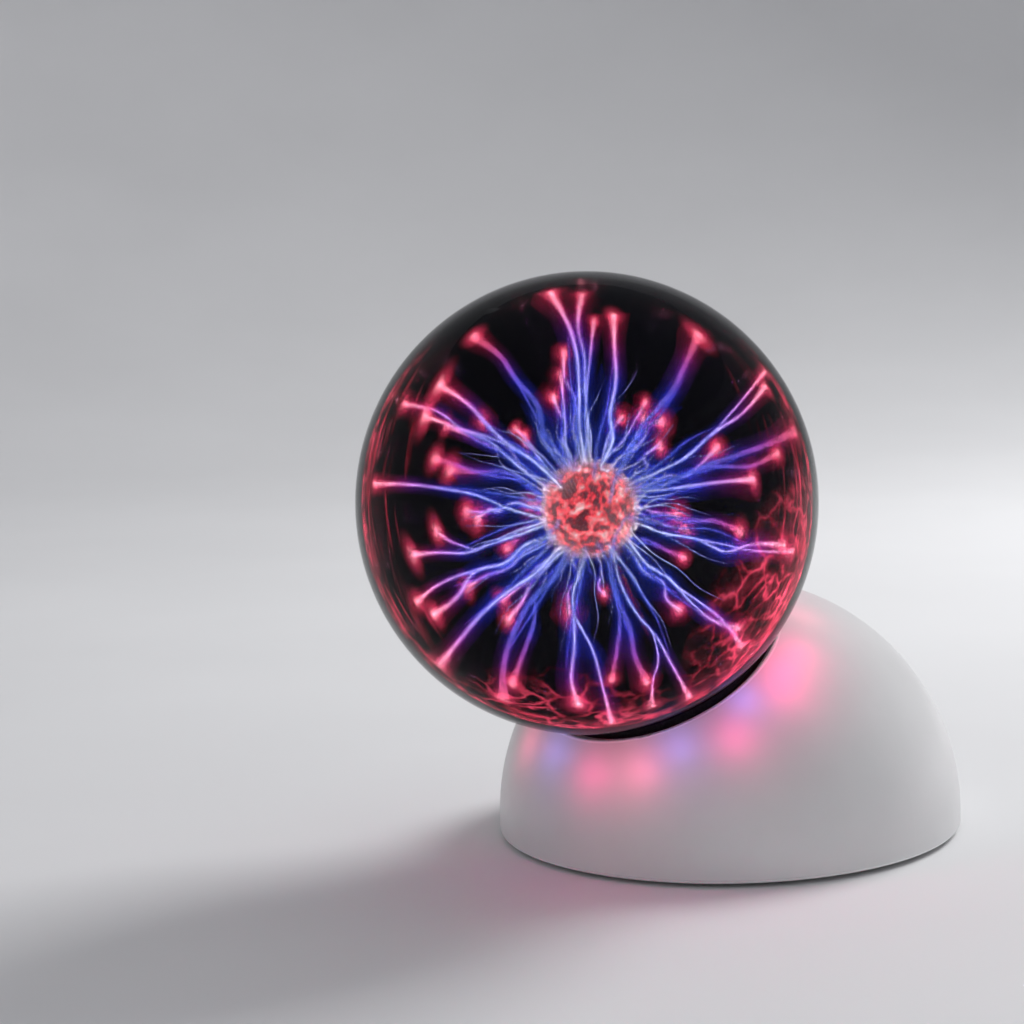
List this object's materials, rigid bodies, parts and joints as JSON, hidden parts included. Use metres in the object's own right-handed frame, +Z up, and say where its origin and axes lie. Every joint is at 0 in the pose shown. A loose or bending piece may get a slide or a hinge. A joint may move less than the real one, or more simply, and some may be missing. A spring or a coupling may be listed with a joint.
{
  "type": "plasma ball",
  "caption": "Glass plasma globe seated at a slant in a white dome-shaped base that rests on a table or hangs on a wall, with a slide switch and a power inlet at the back.",
  "frame": {"origin": "on the table, under the centre of the dome: the centre of the plane through the four feet", "axes": "+Z up out of the base, -Y the front towards which the globe leans (up, when it hangs on a wall), +Y the back with the switch and the power inlet, +X to the right seen from the front"},
  "size_m": [0.136, 0.1875, 0.1657],
  "materials": {
    "clear_glass": "gloss",
    "electrode_glass": "gloss",
    "steel_wool": "matte",
    "brass_rod": "satin",
    "silicone_red": "matte",
    "basing_cement": "matte",
    "collar_plastic": "satin",
    "zinc_steel": "satin",
    "black_foam": "matte",
    "black_plastic": "matte",
    "white_plastic": "satin",
    "foot_rubber": "matte",
    "circuit_board": "satin",
    "ferrite": "matte",
    "bobbin_plastic": "satin",
    "copper_wire": "satin",
    "winding_tape": "gloss",
    "lead_red": "satin",
    "moulded_black": "matte",
    "bare_aluminium": "satin",
    "can_sleeve": "gloss",
    "resistor_body": "satin",
    "mic_can": "satin",
    "lead_yellow": "satin",
    "jack_plastic": "satin",
    "plated_pin": "polished",
    "switch_frame": "satin",
    "knob_plastic": "satin"
  },
  "bodies": {
    "lamp": {"globe_glass": "clear_glass", "electrode_stem": "electrode_glass", "electrode_fill": "steel_wool", "contact_rod": "brass_rod", "rod_boot": "silicone_red", "neck_cement": "basing_cement", "globe_collar": "collar_plastic", "collar_screws": "zinc_steel", "globe_gasket": "black_foam", "socket_cup": "black_plastic", "cup_screws": "zinc_steel", "base_shell": "white_plastic", "base_plate": "white_plastic", "base_screws": "zinc_steel", "rubber_feet": "foot_rubber", "main_board": "circuit_board", "board_screws": "zinc_steel", "ferrite_core": "ferrite", "transformer_bobbin": "bobbin_plastic", "primary_winding": "copper_wire", "hv_winding": "winding_tape", "hv_lead": "lead_red", "power_transistor": "moulded_black", "heatsink": "bare_aluminium", "transistor_screw": "zinc_steel", "filter_capacitors": "can_sleeve", "control_ic": "moulded_black", "resistors": "resistor_body", "microphone": "mic_can", "mic_boot": "foot_rubber", "mic_lead": "lead_yellow", "dc_jack": "jack_plastic", "dc_jack_pin": "plated_pin", "mode_switch_body": "switch_frame"},
    "mode_slide": {"mode_knob": "knob_plastic", "mode_switch_slider": "moulded_black"}
  },
  "joints": [
    {"name": "mode_switch", "type": "slide", "parent": "lamp", "child": "mode_slide", "axis": [1, 0, 0], "range_m": [0, 0.004]}
  ]
}
